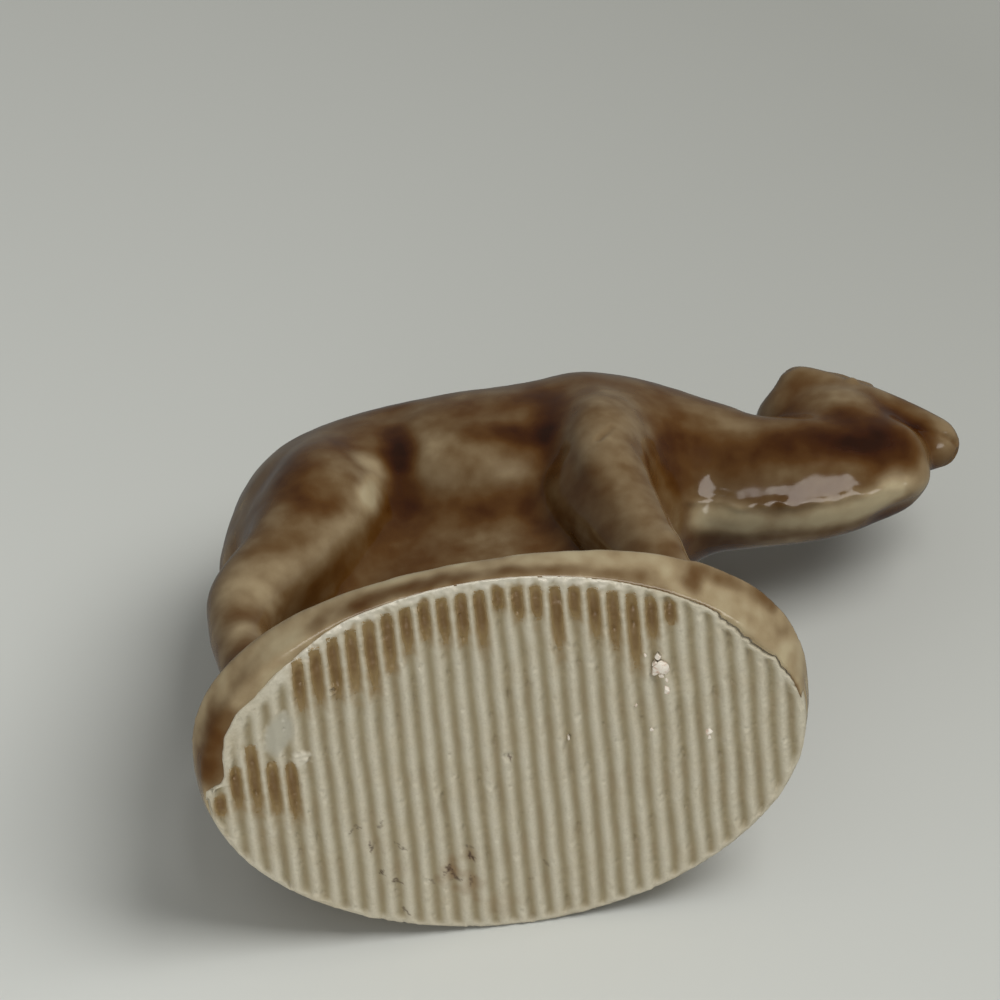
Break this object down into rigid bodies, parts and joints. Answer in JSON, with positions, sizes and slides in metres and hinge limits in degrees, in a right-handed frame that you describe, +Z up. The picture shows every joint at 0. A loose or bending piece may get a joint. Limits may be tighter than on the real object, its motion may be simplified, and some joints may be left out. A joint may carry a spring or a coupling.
{
  "type": "camel figurine",
  "caption": "Small pressed porcelain camel standing on an oval plinth, with a brown gloss glaze over a clay body and a bare ribbed foot to stand on.",
  "frame": {"origin": "middle of the foot's oval, on the face of its centre rib", "axes": "+X towards the camel's head, +Y to the camel's left, +Z up from the foot to the hump"},
  "size_m": [0.0432, 0.0218, 0.0341],
  "materials": {
    "biscuit": "matt unglazed",
    "glaze": "gloss, mottled honey brown",
    "run_glaze": "gloss, thin"
  },
  "bodies": {
    "root": {"clay_body": "biscuit", "glaze_coat": "glaze", "glaze_run_01": "run_glaze", "glaze_run_02": "run_glaze", "glaze_run_03": "run_glaze", "glaze_run_04": "run_glaze", "glaze_run_05": "run_glaze", "glaze_run_06": "run_glaze", "glaze_run_07": "run_glaze", "glaze_run_08": "run_glaze", "glaze_run_09": "run_glaze", "glaze_run_10": "run_glaze", "glaze_run_11": "run_glaze", "glaze_run_12": "run_glaze", "glaze_run_13": "run_glaze", "glaze_run_14": "run_glaze", "glaze_run_15": "run_glaze", "glaze_run_16": "run_glaze", "glaze_run_17": "run_glaze", "glaze_run_18": "run_glaze", "glaze_run_19": "run_glaze", "glaze_run_20": "run_glaze", "glaze_run_21": "run_glaze", "glaze_run_22": "run_glaze", "glaze_run_23": "run_glaze", "glaze_run_24": "run_glaze", "glaze_run_25": "run_glaze", "glaze_run_26": "run_glaze"}
  },
  "joints": []
}
